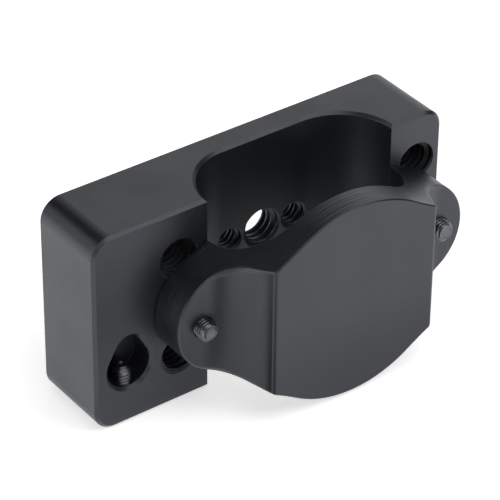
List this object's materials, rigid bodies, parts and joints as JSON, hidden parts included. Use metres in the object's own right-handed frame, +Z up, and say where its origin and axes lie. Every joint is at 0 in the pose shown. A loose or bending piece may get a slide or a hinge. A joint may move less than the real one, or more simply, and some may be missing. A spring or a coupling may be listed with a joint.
{
  "type": "clamp mounting block",
  "caption": "Two-piece clamp mounting block for a flat-oval post, with threaded accessory holes, a clamp cap drawn on by captive screws, and a teardrop socket with a set screw.",
  "frame": {"origin": "on the axis of the oval passage, in the parting plane between block and cap, at mid height", "axes": "+Z up along the post, -Y out of the clamp cap, +X to the right seen from the cap"},
  "size_m": [0.094, 0.0409, 0.05],
  "materials": {
    "anodised_block": "satin black anodised, fine milling marks",
    "anodised_cap": "satin black anodised, brushed along the arch",
    "clamp_screw_steel": "black oxide steel, bright on the thread crests",
    "set_screw_steel": "black oxide steel with a bare tip"
  },
  "bodies": {
    "block": {"block": "anodised_block"},
    "cap": {"clamp_cap": "anodised_cap"},
    "left_screw": {"left_clamp_screw": "clamp_screw_steel"},
    "right_screw": {"right_clamp_screw": "clamp_screw_steel"},
    "set_screw": {"set_screw": "set_screw_steel"}
  },
  "joints": [
    {"name": "left_screw_turn", "type": "hinge", "parent": "block", "child": "left_screw", "pos_m": [-0.0325, 0, 0], "axis": [0, 1, 0], "range_deg": [0, 4680]},
    {"name": "right_screw_turn", "type": "hinge", "parent": "block", "child": "right_screw", "pos_m": [0.0325, 0, 0], "axis": [0, 1, 0], "range_deg": [0, 4680]},
    {"name": "cap_slide", "type": "slide", "parent": "block", "child": "cap", "axis": [0, -1, 0], "range_m": [0, 0.01032]},
    {"name": "set_screw_travel", "type": "slide", "parent": "block", "child": "set_screw", "axis": [0, 0, 1], "range_m": [-0.0006, 0.006]}
  ],
  "couplings": [
    {"joint": "left_screw_turn", "follows": "cap_slide", "rad_per_m": 7915.8},
    {"joint": "right_screw_turn", "follows": "cap_slide", "rad_per_m": 7915.8}
  ]
}
